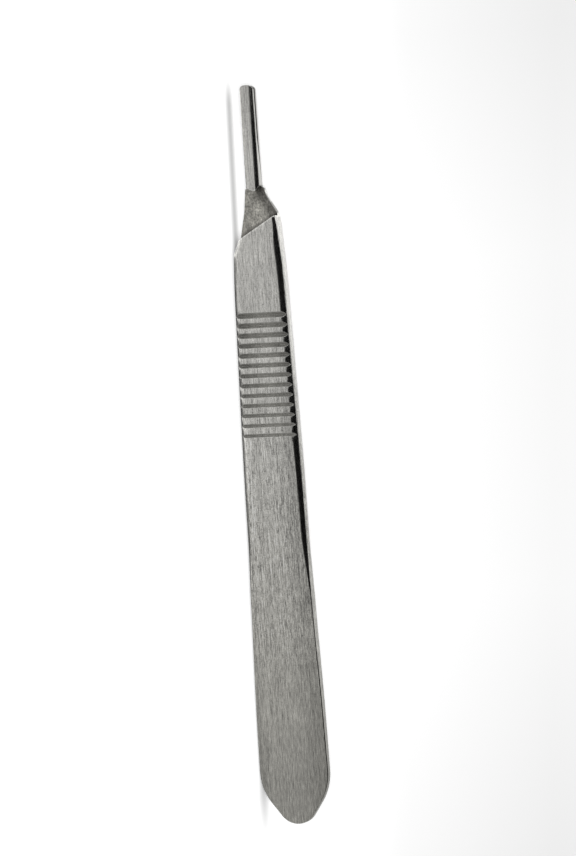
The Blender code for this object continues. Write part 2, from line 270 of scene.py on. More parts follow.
# Brushed steel: its colour changes a little from the front to the tail
FRONT_COLOUR = (0.61, 0.602, 0.572)
TAIL_COLOUR = (0.61, 0.598, 0.55)
COLOUR_SHARE = (10 * MM, -40 * MM, 0.0, 1.0)
FACE_ROUGHNESS = (0.3, 0.7, 0.14, 0.2)
FACE_BUMP = 0.0015 * MM
FACE_ANISOTROPY = 0.3

# Milled steel of the seat, with painted shade by the step, at its right side and at its front, and a
# painted pool of light in its middle
SEAT_GRAIN_COUNTS = (4200, 2600)
SEAT_GRAIN_TONES = (0.3, 0.7, 0.4, 1.6)
BLOTCH_COUNTS = (900, 620)
BLOTCH_TONES = (0.3, 0.7, 0.7, 1.3)
STEP_CORNER_PAINTED_SHADE = (0.15 * MM, 0.95 * MM, 0.18, 1.0)
SEAT_RIGHT_LEAN = 0.5
SEAT_RIGHT_FROM = 1.6 * MM + SEAT_RIGHT_LEAN * (STEP_Y + 4.4 * MM)
SEAT_RIGHT_PAINTED_SHADE = (SEAT_RIGHT_FROM, SEAT_RIGHT_FROM + 0.7 * MM, 1.0, 0.52)
SEAT_PAINTED_LIGHT_PLACE = (0.4 * MM, STEP_Y + 4.1 * MM, STEP_THICKNESS / 2)
SEAT_PAINTED_LIGHT_TONES = (0.3 * MM, 2.2 * MM, 1.5, 1.0)
SEAT_FRONT_PAINTED_SHADE = (NECK_Y - 3.6 * MM, NECK_Y - 2 * MM, 1.0, 0.86)
SEAT_COLOUR = (0.425, 0.413, 0.376)
SEAT_ROUGHNESS = (0.3, 0.7, 0.34, 0.46)
SEAT_BUMP = 0.008 * MM

# Steel in the grooves, darker toward their ends
GROOVE_GRAIN_COUNTS = (4200, 4200)
GROOVE_GRAIN_TONES = (0.3, 0.7, 0.75, 1.25)
MARK_COUNTS = (900, 3000)
MARK_TONES = (0.3, 0.7, 0.9, 1.1)
GROOVE_MIDDLE_X = 0.4 * MM
GROOVE_END_TONE = (16 * MM, 4 * MM, 0.72, 0.84)
GROOVE_END_FROM = 0.8 * MM
GROOVE_END_AT = 4.2 * MM
GROOVE_COLOUR = (0.53, 0.525, 0.5)
GROOVE_ROUGHNESS = (0.3, 0.7, 0.24, 0.32)
GROOVE_BUMP = 0.004 * MM

# Painted shade on the floor: how it darkens toward the right of the picture, most at its top and bottom
FADE_LEAN = -0.07
NEAR_FADE = (4 * MM, 24 * MM, 0.0, 0.16)
FAR_FADE = (24 * MM, 49 * MM, 0.0, 0.122)
TOP_FADE = (30 * MM, 68 * MM, 0.0, 0.075)
BOTTOM_FADE = (-25 * MM, -68 * MM, 0.0, 0.095)
END_FADE_ACROSS = (8 * MM, 22 * MM, 0.0, 1.0)

# A painted shadow on the floor: a straight soft dark line beside the left side of the handle
SHADOW_LINE_X = -5.22 * MM
SHADOW_LINE_LEAN = 0.0161
SHADOW_LINE_HALF_WIDTH = (TAIL_Y + 8 * MM, TAIL_Y + 4 * MM, 1.03 * MM, 1.55 * MM)
SHADOW_LINE_DEPTH = 0.56
SHADOW_LINE_FRONT = (TIP_Y - 3 * MM, TIP_Y + 3.5 * MM, 1.0, 0.0)
SHADOW_LINE_BACK = (TAIL_Y + 7.5 * MM, TAIL_Y - 6.5 * MM, 1.0, 0.0)

# What the steel mirrors round the handle's long axis: the share of a full turn from straight down,
# past the left side, straight up and the right side, with the light found there
RING = [
    (0.0, 0.80),
    (0.04, 0.45),
    (0.08, 0.15),
    (0.22, 0.20),
    (0.30, 0.45),
    (0.34, 0.8),
    (0.42, 0.86),
    (0.444, 0.72),
    (0.47, 0.55),
    (0.505, 0.08),
    (0.515, 0.006),
    (0.77, 0.006),
    (0.785, 0.95),
    (0.95, 1.0),
    (1.0, 0.80),
]

# The dark part of the ring shifts along the handle
RING_SLIDE = (0.0, 0.055, 0.03, -0.015)
RING_SLIDE_SHARE = (0.455, 0.5, 0.0, 1.0)

# How the ring's light changes with the direction: above and below the horizon
ABOVE_TONES = (0.0, -0.152, 1.0, 0.54)
BELOW_SHARE = (0.05, -0.05, 0.0, 1.0)
BELOW_FRONT_TONES = (-0.2, 0.0, 0.7, 1.3)
BELOW_BACK_TONES = (-0.01, -0.1, 0.93, 0.64)
BELOW_BACK_SHARE = (0.05, -0.01, 0.0, 1.0)

# Lights outside the ring: low on the left in front, straight ahead and straight behind
LEFT_LIGHT = 1.5
LEFT_HEIGHT = (0.6, 0.3, 0.0, 1.0)
LEFT_SIDE = (0.0, -0.1, 0.0, 1.0)
LEFT_FRONT = (0.072, 0.09, 0.0, 0.9)
AHEAD_LIGHT_ABOVE = 0.85
AHEAD_LIGHT_BELOW = 0.42
AHEAD_LEAN = 0.07
AHEAD_SHARE = (0.27, 0.41, 0.0, 1.0)
BEHIND_LIGHT = 0.5
BEHIND_SHARE = (-0.35, -0.6, 0.0, 1.0)

# The light that everything but a mirrored or a seen ray gets from the world
PLAIN_LIGHT = 0.65


def thickness(y):
    return TAIL_THICKNESS + TAPER * (y - TAIL_Y)


def share_between(value, start, end):
    return min(1.0, max(0.0, (value - start) / (end - start)))


def edge_radius(y):
    """Rounding of the long edges: small at the tail, large along the grip, fading at the step."""
    rise = share_between(y, TAIL_Y + ROUND_EDGE_FROM, TAIL_Y + ROUND_EDGE_FULL_AT)
    fall = share_between(y, STEP_Y - EDGE_FADE_SETBACK, STEP_Y + EDGE_FADE_ADVANCE)
    radius = TAIL_EDGE_RADIUS + rise * (GRIP_EDGE_RADIUS - TAIL_EDGE_RADIUS)
    radius += fall * (NECK_EDGE_RADIUS - radius)
    return min(radius, MOST_EDGE_RADIUS * thickness(y))


def new_collection(name):
    collection = bpy.data.collections.new(name)
    SCENE.collection.children.link(collection)
    return collection


def object_from(bm, name, collection, slot=FACE):
    bmesh.ops.recalc_face_normals(bm, faces=bm.faces)
    for face in bm.faces:
        face.material_index = slot
        face.smooth = True
    mesh = bpy.data.meshes.new(name)
    bm.to_mesh(mesh)
    bm.free()
    item = bpy.data.objects.new(name, mesh)
    collection.objects.link(item)
    return item


def corner_arc(before, corner, after, radius):
    """Points of the arc that rounds one corner, kept within its share of each side."""
    to_before = (before - corner).normalized()
    to_after = (after - corner).normalized()
    inner = to_before.angle(to_after)
    turn = math.pi - inner
    if radius <= 0 or turn < LEAST_TURN:
        return [corner]
    room = MOST_ARC_REACH * min((before - corner).length, (after - corner).length)
    reach = min(radius * math.tan(turn / 2), room)
    radius = reach / math.tan(turn / 2)
    centre = corner + (to_before + to_after).normalized() * (radius / math.sin(inner / 2))
    start = corner + to_before * reach - centre
    side = 1 if to_before.cross(to_after) < 0 else -1
    steps = max(LEAST_ARC_STEPS, math.ceil(turn / ARC_STEP))
    turns = [Matrix.Rotation(side * turn * i / steps, 2) for i in range(steps + 1)]
    return [centre + turned @ start for turned in turns]


def rounded_outline(corners):
    """Closed outline through (x, y, radius) corners, each rounded by its own radius."""
    places = [Vector((x, y)) for x, y, _ in corners]
    points = []
    for i, (_, _, radius) in enumerate(corners):
        following = places[(i + 1) % len(places)]
        points += corner_arc(places[i - 1], places[i], following, radius)
    return points


def with_short_sides(points):
    """The same outline with more points on its long sides, so that a rounding can change along them."""
    dense = []
    for i, point in enumerate(points):
        following = points[(i + 1) % len(points)]
        pieces = math.ceil((following - point).length / LONGEST_SIDE)
        dense += [point.lerp(following, k / pieces) for k in range(pieces)]
    return dense


def inset_directions(points):
    """For each point, the move that carries both of its sides inward by a distance of one."""
    moves = []
    for i, point in enumerate(points):
        arriving = (point - points[i - 1]).normalized()
        leaving = (points[(i + 1) % len(points)] - point).normalized()
        normal_a = Vector((-arriving.y, arriving.x))
        normal_b = Vector((-leaving.y, leaving.x))
        bisector = (normal_a + normal_b).normalized()
        moves.append(bisector / bisector.dot(normal_a))
    return moves


def rounded_solid(name, outline, top, bottom, top_radius, bottom_radius, collection):
    """Loft of inset outlines: level caps, upright sides and a rounded edge round each cap.

    The heights and radii are functions of Y. The outline runs counterclockwise.
    """
    moves = inset_directions(outline)
    quarter = [math.pi / 2 * i / EDGE_STEPS for i in range(EDGE_STEPS + 1)]
    levels = [(bottom, bottom_radius, 1, angle) for angle in reversed(quarter)]
    levels += [(top, top_radius, -1, angle) for angle in quarter]
    bm = bmesh.new()
    rings = []
    for height, radius, inward, angle in levels:
        ring = []
        for point, move in zip(outline, moves):
            size = radius(point.y)
            place = point + move * size * (1 - math.cos(angle))
            z = height(place.y) + inward * size * (1 - math.sin(angle))
            ring.append(bm.verts.new((place.x, place.y, z)))
        rings.append(ring)
    for lower, upper in zip(rings, rings[1:]):
        for i, vert in enumerate(lower):
            bm.faces.new((lower[i - 1], vert, upper[i], upper[i - 1]))
    bm.faces.new(rings[0])
    bm.faces.new(rings[-1])
    return object_from(bm, name, collection)


def box(name, size, place, turn, collection, slot):
    bm = bmesh.new()
    matrix = Matrix.Translation(place) @ turn @ Matrix.Diagonal((*size, 1.0))
    bmesh.ops.create_cube(bm, size=1.0, matrix=matrix)
    return object_from(bm, name, collection, slot)


def body_outline():
    """Right side from the tail to the neck, then the left side back to the tail."""
    slant = math.tan(TAIL_SLANT)
    apex_y = TAIL_Y - TAIL_POINT_RADIUS * (1 / math.sin(TAIL_SLANT) - 1)
    shoulder_y = apex_y + TAIL_WIDTH / 2 / slant
    side = [
        (TAIL_WIDTH / 2, shoulder_y, TAIL_SHOULDER_RADIUS),
        (FLARE_WIDTH / 2, TAIL_Y + FLARE_AT, SIDE_BLEND_RADIUS),
        (REAR_WAIST_WIDTH / 2, TAIL_Y + REAR_WAIST_AT, SIDE_BLEND_RADIUS),
        (FRONT_WAIST_WIDTH / 2, TAIL_Y + FRONT_WAIST_AT, SIDE_BLEND_RADIUS),
    ]
    root = TONGUE_WIDTH / 2 - TONGUE_BOTTOM_RADIUS
    right_front = [
        (GRIP_WIDTH / 2, STEP_Y - GRIP_RIGHT_FRONT_SETBACK, SIDE_BLEND_RADIUS),
        (RIGHT_CHEEK_REACH, STEP_Y + RIGHT_CHEEK_ADVANCE, RIGHT_CHEEK_RADIUS),
        (RIGHT_SHOULDER_REACH, STEP_Y + RIGHT_SHOULDER_ADVANCE, RIGHT_SHOULDER_RADIUS),
        (NECK_BEND_RIGHT_REACH, NECK_Y - NECK_BEND_SETBACK, NECK_BEND_RADIUS),
        (NECK_FRONT_WIDTH / 2, NECK_Y, 0.0),
        (root, NECK_Y + NECK_ROOT_IN_TONGUE, 0.0),
    ]
    left_front = [
        (-root, NECK_Y + NECK_ROOT_IN_TONGUE, 0.0),
        (-NECK_FRONT_WIDTH / 2, NECK_Y, 0.0),
        (-NECK_BEND_LEFT_REACH, NECK_Y - NECK_BEND_SETBACK - NECK_BEND_SKEW, NECK_BEND_RADIUS),
        (-NECK_LEFT_REACH, STEP_Y, 0.0),
        (-LEFT_SHOULDER_REACH, STEP_Y - LEFT_SHOULDER_SETBACK, LEFT_SHOULDER_RADIUS),
        (-GRIP_WIDTH / 2, STEP_Y - GRIP_LEFT_FRONT_SETBACK, SIDE_BLEND_RADIUS),
    ]
    left_side = [(-x, y, radius) for x, y, radius in reversed(side)]
    tail_point = [(TAIL_POINT_OFFSET, apex_y, TAIL_POINT_RADIUS)]
    corners = tail_point + side + right_front + left_front + left_side
    return with_short_sides(rounded_outline(corners))


def make_body(collection):
    return rounded_solid(
        "steel_handle",
        body_outline(),
        top=lambda y: thickness(y) / 2,
        bottom=lambda y: -thickness(y) / 2,
        top_radius=edge_radius,
        bottom_radius=edge_radius,
        collection=collection,
    )


def prism(name, outline, height, turn, collection):
    """An outline in X and Y, raised along Z by the height, then turned."""
    bm = bmesh.new()
    base = bm.faces.new([bm.verts.new((point.x, point.y, 0.0)) for point in outline])
    raised = bmesh.ops.extrude_face_region(bm, geom=[base])["geom"]
    verts = [item for item in raised if isinstance(item, bmesh.types.BMVert)]
    bmesh.ops.translate(bm, verts=verts, vec=(0.0, 0.0, height))
    bmesh.ops.transform(bm, matrix=turn, verts=bm.verts)
    return object_from(bm, name, collection)


def make_tongue(collection):
    """A bar with rounded long edges, which make_tongue_plan cuts to its round tip and pointed heel."""
    half = TONGUE_WIDTH / 2
    corners = [
        (half, -TONGUE_BOTTOM, TONGUE_BOTTOM_RADIUS),
        (half, TONGUE_TOP, TONGUE_TOP_RADIUS),
        (-half, TONGUE_TOP, TONGUE_TOP_RADIUS),
        (-half, -TONGUE_BOTTOM, TONGUE_BOTTOM_RADIUS),
    ]
    back_y = NECK_Y - 2 * CUT_MARGIN
    front_y = TIP_Y + CUT_MARGIN
    turn = Matrix.Translation((0.0, front_y, 0.0)) @ Matrix.Rotation(math.radians(90), 4, "X")
    return prism("tongue", rounded_outline(corners), front_y - back_y, turn, collection)


def make_tongue_plan(collection):
    half = TONGUE_WIDTH / 2
    edge = half + CUT_MARGIN
    point_y = NECK_Y - HEEL_POINT_SETBACK
    left_y = point_y + (edge + HEEL_POINT_OFFSET) * math.tan(HEEL_LEFT_SLANT)
    right_y = point_y + (edge - HEEL_POINT_OFFSET) * math.tan(HEEL_RIGHT_SLANT)
    tip_back_y = TIP_Y - 2 * TONGUE_TIP_RADIUS
    corners = [
        (HEEL_POINT_OFFSET, point_y, HEEL_POINT_RADIUS),
        (edge, right_y, 0.0),
        (edge, tip_back_y, 0.0),
        (half, tip_back_y, 0.0),
        (half, TIP_Y, TONGUE_TIP_RADIUS),
        (-half, TIP_Y, TONGUE_TIP_RADIUS),
        (-half, tip_back_y, 0.0),
        (-edge, tip_back_y, 0.0),
        (-edge, left_y, 0.0),
    ]
    lift = Matrix.Translation((0.0, 0.0, -TONGUE_BOTTOM - CUT_MARGIN))
    height = TONGUE_BOTTOM + TONGUE_TOP + 2 * CUT_MARGIN
    return prism("tongue_plan", rounded_outline(corners), height, lift, collection)


def make_web(collection):
    """The core that stays between the two slots and joins the head to the rail."""
    half = TONGUE_WIDTH / 2 - SLOT_DEPTH
    heel_y = NECK_Y + HEEL_LENGTH / 2
    tip_y = TIP_Y - SLOT_DEPTH
    tip_radius = TONGUE_TIP_RADIUS - SLOT_DEPTH
    corners = [
        (-half, heel_y, 0.0),
        (half, heel_y, 0.0),
        (half, tip_y, tip_radius),
        (-half, tip_y, tip_radius),
    ]
    lift = Matrix.Translation((0.0, 0.0, -TONGUE_BOTTOM))
    return prism("web", rounded_outline(corners), TONGUE_BOTTOM + TONGUE_TOP, lift, collection)


def make_slot_cutter(collection):
    """A layer as high as the blade's slot needs, from the heel to past the tip."""
    start = NECK_Y + HEEL_LENGTH
    end = TIP_Y + CUT_MARGIN
    size = (TONGUE_WIDTH + 2 * CUT_MARGIN, end - start, SLOT_HEIGHT)
    place = Vector((0.0, (start + end) / 2, SEAT_Z + SLOT_HEIGHT / 2))
    return box("slot_layer", size, place, Matrix.Identity(4), collection, FACE)


def make_seat_cutter(collection):
    """Clears everything over the blade seat, in front of the slanted stop step."""
    size = Vector((3 * GRIP_WIDTH, 2 * NECK_LENGTH, STEP_THICKNESS))
    turn = Matrix.Rotation(STEP_SLANT, 4, "Z")
    step_corner = Vector((-NECK_LEFT_REACH, STEP_Y + STEP_LIP, SEAT_Z))
    middle = turn @ Vector((0.0, size.y / 2, size.z / 2))
    return box("seat_cut", size, step_corner + middle, turn, collection, SEAT)


def make_ramp_cutter(collection):
    """Thins the neck from below, from the body's underside up to the tongue's."""
    start_y = STEP_Y - RAMP_START_SETBACK
    start = Vector((0.0, start_y, -thickness(start_y) / 2))
    rise = -TONGUE_BOTTOM - start.z
    slope = math.atan(rise / (NECK_Y - start_y))
    size = Vector((2 * GRIP_WIDTH, 3 * NECK_LENGTH, STEP_THICKNESS))
    turn = Matrix.Rotation(slope, 4, "X")
    middle = turn @ Vector((0.0, size.y / 2 - CUT_MARGIN, -size.z / 2))
    return box("ramp_cut", size, start + middle, turn, collection, FACE)


def make_groove_cutter(collection):
    """Square bars turned onto an edge, above and below, which cut less deep toward the tail."""
    on_edge = Matrix.Rotation(GROOVE_SKEW, 4, "Z") @ Matrix.Rotation(math.radians(45), 4, "X")
    size = (FLARE_WIDTH + 2 * CUT_MARGIN, GROOVE_BAR_SIDE, GROOVE_BAR_SIDE, 1.0)
    bm = bmesh.new()
    for i in range(GROOVE_COUNT):
        y = STEP_Y - GROOVE_SETBACK - i * GROOVE_PITCH
        share = i / (GROOVE_COUNT - 1)
        depth = FIRST_GROOVE_DEPTH + share * (LAST_GROOVE_DEPTH - FIRST_GROOVE_DEPTH)
        centre_z = thickness(y) / 2 - depth + GROOVE_BAR_SIDE / math.sqrt(2)
        for side in (1, -1):
            matrix = Matrix.Translation((0.0, y, side * centre_z)) @ on_edge @ Matrix.Diagonal(size)
            bmesh.ops.create_cube(bm, size=1.0, matrix=matrix)
    return object_from(bm, "groove_bars", collection, GROOVE)


def combine(target, other, operation):
    modifier = target.modifiers.new(other.name, "BOOLEAN")
    modifier.operation = operation
    modifier.object = other
    modifier.solver = "EXACT"


def break_edges(item):
    """Breaks the sharp edges by a hair's breadth, and keeps the level faces level in the shading."""
    bevel = item.modifiers.new("broken_edges", "BEVEL")
    bevel.width = BROKEN_EDGE
    bevel.segments = BROKEN_EDGE_STEPS
    bevel.limit_method = "ANGLE"
    bevel.angle_limit = SHARP_EDGE
    bevel.use_clamp_overlap = False
    bevel.harden_normals = False
    bevel.miter_outer = "MITER_ARC"
    weighted = item.modifiers.new("level_faces", "WEIGHTED_NORMAL")
    weighted.weight = LEVEL_FACE_WEIGHT
    weighted.keep_sharp = True


def apply_modifiers(item):
    """Turns the result of the modifiers into the object's own mesh."""
    graph = bpy.context.evaluated_depsgraph_get()
    mesh = bpy.data.meshes.new_from_object(item.evaluated_get(graph), depsgraph=graph)
    item.modifiers.clear()
    item.data = mesh


def lay_flat(item):
    """Tip the wedge by half its taper, so that its underside becomes level at Z = 0."""
    tip = Matrix.Rotation(HALF_TAPER_ANGLE, 4, "X")
    lift = Matrix.Translation((0.0, 0.0, thickness(0.0) / 2 * math.cos(HALF_TAPER_ANGLE)))
    item.data.transform(lift @ tip)


def add_grain_map(item):
    """A flat map with U across the handle, from which the brushing takes its direction."""
    grain = item.data.uv_layers.new(name="grain")
    for loop in item.data.loops:
        place = item.data.vertices[loop.vertex_index].co
        grain.data[loop.index].uv = (place.x / LENGTH + 0.5, place.y / LENGTH + 0.5)


def make_handle():
    cutters = new_collection("cutters")
    slot_layer = make_slot_cutter(cutters)
    combine(slot_layer, make_web(cutters), "DIFFERENCE")
    tongue = make_tongue(cutters)
    combine(tongue, make_tongue_plan(cutters), "INTERSECT")
    combine(tongue, slot_layer, "DIFFERENCE")

    handle = make_body(SCENE.collection)
    for material in (steel_face(), steel_seat(), steel_groove()):
        handle.data.materials.append(material)
    combine(handle, make_seat_cutter(cutters), "DIFFERENCE")
    combine(handle, make_ramp_cutter(cutters), "DIFFERENCE")
    combine(handle, make_groove_cutter(cutters), "DIFFERENCE")
    combine(handle, tongue, "UNION")
    break_edges(handle)
    apply_modifiers(handle)
    for cutter in list(cutters.objects):
        bpy.data.objects.remove(cutter)
    bpy.data.collections.remove(cutters)
    lay_flat(handle)
    add_grain_map(handle)
    return handle


class Nodes:
    """Short calls that add and join the nodes of one tree."""

    def __init__(self, tree):
        self.tree = tree
        self.tree.nodes.clear()

    def add(self, kind, inputs=None, **settings):
        node = self.tree.nodes.new(kind)
        for name, value in settings.items():
            setattr(node, name, value)
        for name, value in (inputs or {}).items():
            self.put(node.inputs[name], value)
        return node

    def put(self, socket, value):
        if isinstance(value, bpy.types.NodeSocket):
            self.tree.links.new(value, socket)
        else:
            socket.default_value = value

    def math(self, operation, a, b=0.0, c=0.0):
        return self.add("ShaderNodeMath", {0: a, 1: b, 2: c}, operation=operation).outputs[0]

    def vector_math(self, operation, a, b):
        return self.add("ShaderNodeVectorMath", {0: a, 1: b}, operation=operation).outputs

    def product(self, *values):
        result = values[0]
        for value in values[1:]:
            result = self.math("MULTIPLY", result, value)
        return result

    def one_less(self, value):
        return self.math("SUBTRACT", 1.0, value)

    def mapped(self, value, low, high, to_low, to_high, smooth=False):
        """The value's place on a ramp from low to high, turned to one between to_low and to_high."""
        kind = "SMOOTHSTEP" if smooth else "LINEAR"
        values = {"Value": value, "From Min": low, "From Max": high, "To Min": to_low, "To Max": to_high}
        return self.add("ShaderNodeMapRange", values, interpolation_type=kind, clamp=True).outputs["Result"]

    def mix(self, factor, a, b):
        return self.add("ShaderNodeMix", {0: factor, 2: a, 3: b}).outputs[0]

    def mixed_colour(self, factor, a, b):
        return self.add("ShaderNodeMix", {0: factor, 4: a, 5: b}, data_type="VECTOR").outputs[1]

    def object_vector(self):
        return self.add("ShaderNodeTexCoord").outputs["Object"]

    def object_place(self):
        return self.add("ShaderNodeSeparateXYZ", {0: self.object_vector()}).outputs

    def before_step(self):
        """Distance in front of the slanted step."""
        forward = Vector((-math.sin(STEP_SLANT), math.cos(STEP_SLANT), 0.0))
        at_step = forward.dot(Vector((-NECK_LEFT_REACH, STEP_Y + STEP_LIP, 0.0)))
        reach = self.vector_math("DOT_PRODUCT", self.object_vector(), forward)["Value"]
        return self.math("SUBTRACT", reach, at_step)

    def distance_from(self, point):
        return self.vector_math("DISTANCE", self.object_vector(), point)["Value"]

    def noise(self, counts, detail=2.0, roughness=0.5):
        """Noise in object space with the given counts per metre across and along the handle."""
        across, along = counts
        scaled = self.vector_math("MULTIPLY", self.object_vector(), (across, along, across))["Vector"]
        values = {"Vector": scaled, "Scale": 1.0, "Detail": detail, "Roughness": roughness}
        return self.add("ShaderNodeTexNoise", values).outputs["Fac"]

    def shaded(self, colour, factor):
        """The colour times a grey factor."""
        grey = self.add("ShaderNodeCombineXYZ", {0: factor, 1: factor, 2: factor}).outputs[0]
        return self.vector_math("MULTIPLY", colour, grey)["Vector"]


def new_material(name):
    material = bpy.data.materials.new(name)
    material.use_nodes = True
    return material, Nodes(material.node_tree)


def finish_steel(nodes, colour, roughness, height, depth, anisotropy):
    """Joins a steel's values to a metal shader, whose brushing follows the grain map."""
    bump = nodes.add("ShaderNodeBump", {"Strength": 1.0, "Distance": depth, "Height": height})
    tangent = nodes.add("ShaderNodeTangent", direction_type="UV_MAP", uv_map="grain")
    values = {
        "Base Color": colour,
        "Metallic": 1.0,
        "Roughness": roughness,
        "Anisotropic": anisotropy,
        "Normal": bump.outputs["Normal"],
        "Tangent": tangent.outputs["Tangent"],
    }
    shader = nodes.add("ShaderNodeBsdfPrincipled", values)
    output = nodes.add("ShaderNodeOutputMaterial")
    nodes.tree.links.new(shader.outputs["BSDF"], output.inputs["Surface"])


def face_tones_and_painted_light(nodes):
    """Broad tones of the brushed faces as a grey factor: random broad tones and small dark specks, with
    painted light and shade.
    """
    place = nodes.object_place()
    x, y = place["X"], place["Y"]
    broad = nodes.noise(BROAD_COUNTS, detail=1.0)
    # Painted shade on the right part of the faces
    right_start = nodes.mapped(y, *RIGHT_START)
    right_end = nodes.mapped(y, *RIGHT_END)
    right_share = nodes.mapped(x, right_start, right_end, 0.0, 1.0)
    right = nodes.product(right_share, nodes.mapped(y, *RIGHT_PAINTED_SHADE_DEPTH))
    # Painted shade on the left side of the tail
    tail_left_shade = nodes.product(nodes.mapped(x, *TAIL_LEFT_ACROSS), nodes.mapped(y, *TAIL_LEFT_PAINTED_SHADE_DEPTH))
    # Painted highlight in a stripe along the left side, with a little painted shade on the rounded edge
    # beside it
    stripe = nodes.product(
        nodes.mapped(y, *STRIPE_FRONT),
        nodes.mapped(y, *STRIPE_BACK),
        nodes.mapped(x, *STRIPE_RIGHT),
        nodes.mapped(x, *STRIPE_LEFT),
    )
    # Painted shade along the left rim of the grip
    from_edge = nodes.math("SUBTRACT", x, nodes.mapped(y, *GRIP_LEFT_EDGE))
    rim = nodes.product(
        nodes.mapped(from_edge, *RIM_ACROSS),
        nodes.mapped(y, *RIM_BACK),
        nodes.mapped(y, *RIM_FRONT),
    )
    # Random broad tones and real specks, times painted shade at the front of the grip and the tail end, the
    # painted highlight on the step's lip and the painted light and shade on the tongue
    return nodes.product(
        nodes.mapped(broad, *BROAD_TONES),
        nodes.mapped(y, *FRONT_PAINTED_SHADE),
        nodes.one_less(right),
        nodes.one_less(tail_left_shade),
        nodes.math("ADD", 1.0, stripe),
        nodes.mapped(y, *END_PAINTED_SHADE),
        nodes.one_less(rim),
        nodes.mapped(nodes.before_step(), *LIP_PAINTED_HIGHLIGHT),
        tongue_painted_light_and_shade(nodes, x, y),
        speck_shading(nodes),
    )


def tongue_painted_light_and_shade(nodes, x, y):
    """Painted light and shade on the tongue's two flanks and its tip, as a grey factor that is 1 behind the
    neck.
    """
    # Painted light on the left flank, painted shade on the right flank and toward the tip
    left = nodes.mapped(x, *TONGUE_LEFT_PAINTED_LIGHT)
    right = nodes.mapped(x, *TONGUE_RIGHT_PAINTED_SHADE)
    flanks = nodes.math("ADD", left, right)
    tongue = nodes.mapped(y, NECK_Y - HEEL_POINT_SETBACK, NECK_Y, 1.0, flanks)
    return nodes.product(tongue, nodes.mapped(y, *TIP_PAINTED_SHADE))


def speck_shading(nodes):
    specks = []
    for x, y, radius in SPECKS:
        away = nodes.distance_from((x, y, thickness(y)))
        specks.append(nodes.mapped(away, SPECK_CORE * radius, radius, SPECK_TONE, 1.0))
    return nodes.product(*specks)


def brushed_grain(nodes, y, short):
    """Short and long streaks with a fine speckle, round 0, and how strongly they show."""
    back = nodes.mapped(y, *BACK_SHARE)
    speckle = nodes.noise(SPECKLE_COUNTS, detail=1.0)
    long = nodes.noise(LONG_COUNTS)
    grain = nodes.math("MULTIPLY_ADD", speckle, nodes.mapped(back, *SPECKLE_BY_BACK), short)
    grain = nodes.math("MULTIPLY_ADD", long, LONG_SHARE, grain)
    grain = nodes.math("SUBTRACT", grain, nodes.mapped(back, *GRAIN_MIDDLE_BY_BACK))
    contrast = nodes.product(
        nodes.mapped(y, *CONTRAST_ALONG),
        nodes.mapped(back, *CONTRAST_BY_BACK),
        nodes.mapped(y, *CONTRAST_AT_TONGUE),
    )
    return grain, contrast


def steel_face():
    """Satin steel, brushed along the handle and a little yellower toward the tail, with painted light and
    shade on its faces.
    """
    material, nodes = new_material("satin_steel")
    y = nodes.object_place()["Y"]
    short = nodes.noise(SHORT_COUNTS)
    grain, contrast = brushed_grain(nodes, y, short)
    streaks = nodes.math("MULTIPLY_ADD", grain, contrast, 1.0)
    factor = nodes.product(streaks, face_tones_and_painted_light(nodes))
    tint = nodes.mixed_colour(nodes.mapped(y, *COLOUR_SHARE), FRONT_COLOUR, TAIL_COLOUR)
    colour = nodes.shaded(tint, factor)
    roughness = nodes.mapped(short, *FACE_ROUGHNESS)
    finish_steel(nodes, colour, roughness, grain, FACE_BUMP, FACE_ANISOTROPY)
    return material


def steel_seat():
    """The milled seat for the blade: rougher, mottled and a little browner, with painted shade that is
    darkest by the step and also darkens its right side and its front, and a painted pool of light in its
    middle.
    """
    material, nodes = new_material("milled_steel")
    place = nodes.object_place()
    x, y = place["X"], place["Y"]
    grain = nodes.noise(SEAT_GRAIN_COUNTS, detail=3.0, roughness=0.6)
    blotches = nodes.noise(BLOTCH_COUNTS)
    to_right = nodes.math("MULTIPLY_ADD", y, SEAT_RIGHT_LEAN, x)
    # Painted shade by the step, at the right side and at the front, and a painted pool of light in the
    # middle, on top of the steel's own grain and blotches
    factor = nodes.product(
        nodes.mapped(grain, *SEAT_GRAIN_TONES),
        nodes.mapped(blotches, *BLOTCH_TONES),
        nodes.mapped(nodes.before_step(), *STEP_CORNER_PAINTED_SHADE),
        nodes.mapped(to_right, *SEAT_RIGHT_PAINTED_SHADE),
        nodes.mapped(nodes.distance_from(SEAT_PAINTED_LIGHT_PLACE), *SEAT_PAINTED_LIGHT_TONES),
        nodes.mapped(y, *SEAT_FRONT_PAINTED_SHADE),
    )
    colour = nodes.shaded(SEAT_COLOUR, factor)
    roughness = nodes.mapped(grain, *SEAT_ROUGHNESS)
    finish_steel(nodes, colour, roughness, grain, SEAT_BUMP, 0.0)
    return material


def steel_groove():
    """The cut grooves keep a duller, darker steel than the brushed faces, darkest at their ends."""
    material, nodes = new_material("grooved_steel")
    place = nodes.object_place()
    grain = nodes.noise(GROOVE_GRAIN_COUNTS, roughness=0.6)
    marks = nodes.noise(MARK_COUNTS, detail=1.0)
    outward = nodes.math("ABSOLUTE", nodes.math("ADD", place["X"], -GROOVE_MIDDLE_X))
    end_tone = nodes.mapped(place["Y"], *GROOVE_END_TONE)
    factor = nodes.product(
        nodes.mapped(grain, *GROOVE_GRAIN_TONES),
        nodes.mapped(marks, *MARK_TONES),
        nodes.mapped(outward, GROOVE_END_FROM, GROOVE_END_AT, 1.0, end_tone),
    )
    colour = nodes.shaded(GROOVE_COLOUR, factor)
    roughness = nodes.mapped(marks, *GROOVE_ROUGHNESS)
    finish_steel(nodes, colour, roughness, grain, GROOVE_BUMP, 0.0)
    return material


